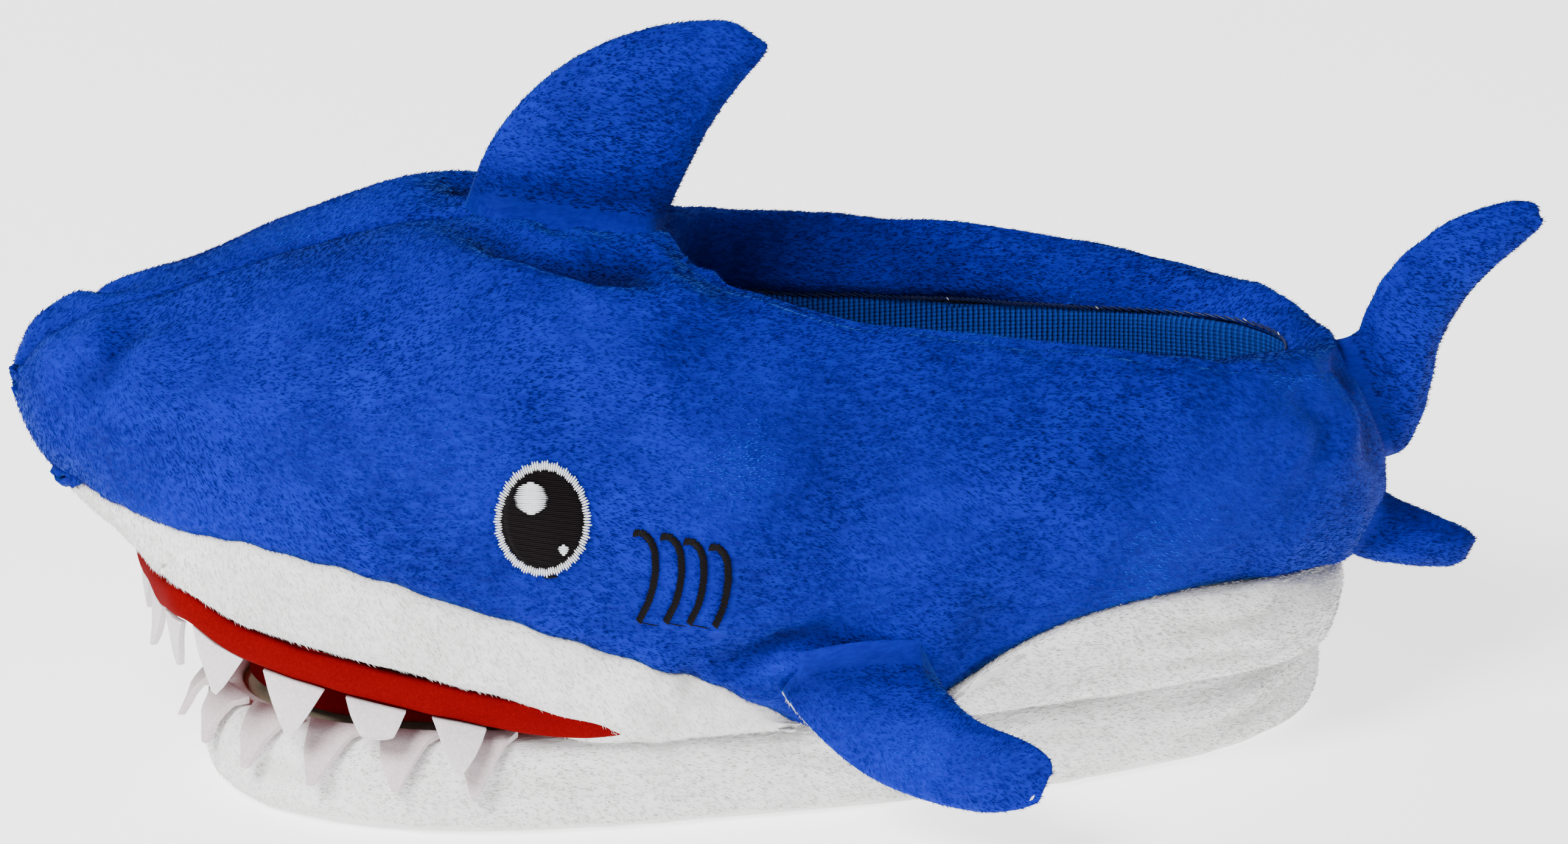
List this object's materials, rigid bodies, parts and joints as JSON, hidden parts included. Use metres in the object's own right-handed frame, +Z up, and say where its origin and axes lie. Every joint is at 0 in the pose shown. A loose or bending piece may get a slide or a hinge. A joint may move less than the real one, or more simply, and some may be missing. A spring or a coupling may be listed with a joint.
{
  "type": "plush shark slipper",
  "caption": "Slipper in the shape of a stuffed shark, with a foot opening behind the dorsal fin, felt teeth, stuffed fins and tail, on a thick plush-covered sole.",
  "frame": {"origin": "on the underside of the sole, in the plane of symmetry, below the front third of the foot opening", "axes": "+X towards the tail, +Y towards the right side of the shark, +Z up"},
  "size_m": [0.3372, 0.1922, 0.1643],
  "materials": {
    "plush_blue": "short-pile plush",
    "plush_white": "short-pile plush",
    "felt_red": "felt",
    "cloth_red": "plain cloth",
    "felt_white": "felt",
    "thread_black": "satin stitch",
    "thread_white": "satin stitch",
    "knit_lining": "ribbed knit",
    "foam": "soft foam",
    "fibre_fill": "polyester fill",
    "outsole_cloth": "dotted cloth"
  },
  "bodies": {
    "root": {"outsole": "outsole_cloth", "sole_foam": "foam", "footbed": "knit_lining", "foot_lining": "knit_lining", "collar_facing": "plush_blue", "upper_left": "plush_blue", "upper_right": "plush_blue", "sole_wrap": "plush_white", "lip_left": "plush_white", "lip_right": "plush_white", "belly_left": "plush_white", "belly_right": "plush_white", "gum_band": "felt_red", "mouth_lining": "cloth_red", "snout_stuffing": "fibre_fill", "vamp_padding": "fibre_fill", "wall_padding_left": "fibre_fill", "wall_padding_right": "fibre_fill", "eye_left_black": "thread_black", "eye_right_black": "thread_black", "gills_left": "thread_black", "gills_right": "thread_black", "eye_left_white": "thread_white", "eye_right_white": "thread_white", "upper_tooth_1": "felt_white", "upper_tooth_2": "felt_white", "upper_tooth_3": "felt_white", "upper_tooth_4": "felt_white", "upper_tooth_5": "felt_white", "upper_tooth_6": "felt_white", "upper_tooth_7": "felt_white", "upper_tooth_8": "felt_white", "upper_tooth_9": "felt_white", "upper_tooth_10": "felt_white", "upper_tooth_11": "felt_white", "lower_tooth_1": "felt_white", "lower_tooth_2": "felt_white", "lower_tooth_3": "felt_white", "lower_tooth_4": "felt_white", "lower_tooth_5": "felt_white", "lower_tooth_6": "felt_white", "lower_tooth_7": "felt_white", "lower_tooth_8": "felt_white", "lower_tooth_9": "felt_white", "lower_tooth_10": "felt_white"},
    "dorsal_fin": {"dorsal_fin_left": "plush_blue", "dorsal_fin_right": "plush_blue", "dorsal_fin_stuffing": "fibre_fill"},
    "pectoral_left": {"pectoral_left_top": "plush_blue", "pectoral_left_underside": "plush_white", "pectoral_left_stuffing": "fibre_fill"},
    "pectoral_right": {"pectoral_right_top": "plush_blue", "pectoral_right_underside": "plush_white", "pectoral_right_stuffing": "fibre_fill"},
    "tail_upper": {"tail_upper_left": "plush_blue", "tail_upper_right": "plush_blue", "tail_upper_stuffing": "fibre_fill"},
    "tail_lower": {"tail_lower_left": "plush_blue", "tail_lower_right": "plush_blue", "tail_lower_stuffing": "fibre_fill"}
  },
  "joints": [
    {"name": "dorsal_fin_flop", "type": "hinge", "parent": "root", "child": "dorsal_fin", "pos_m": [-0.069, 0, 0.13362], "axis": [0.98, 0, -0.1992], "range_deg": [-25, 25], "stiffness_Nm_per_rad": 0.06},
    {"name": "pectoral_left_flap", "type": "hinge", "parent": "root", "child": "pectoral_left", "pos_m": [-0.014, -0.06362, 0.032], "axis": [-0.9996, -0.0053, -0.0278], "range_deg": [-8, 50], "stiffness_Nm_per_rad": 0.06},
    {"name": "pectoral_right_flap", "type": "hinge", "parent": "root", "child": "pectoral_right", "pos_m": [-0.014, 0.06362, 0.032], "axis": [0.9996, -0.0053, 0.0278], "range_deg": [-8, 50], "stiffness_Nm_per_rad": 0.06},
    {"name": "tail_upper_swing", "type": "hinge", "parent": "root", "child": "tail_upper", "pos_m": [0.12779, 0, 0.08389], "axis": [0.3332, 0, -0.9429], "range_deg": [-35, 35], "stiffness_Nm_per_rad": 0.06},
    {"name": "tail_lower_swing", "type": "hinge", "parent": "root", "child": "tail_lower", "pos_m": [0.1372, 0, 0.04402], "axis": [-0.5795, 0, -0.815], "range_deg": [-35, 35], "stiffness_Nm_per_rad": 0.06}
  ]
}
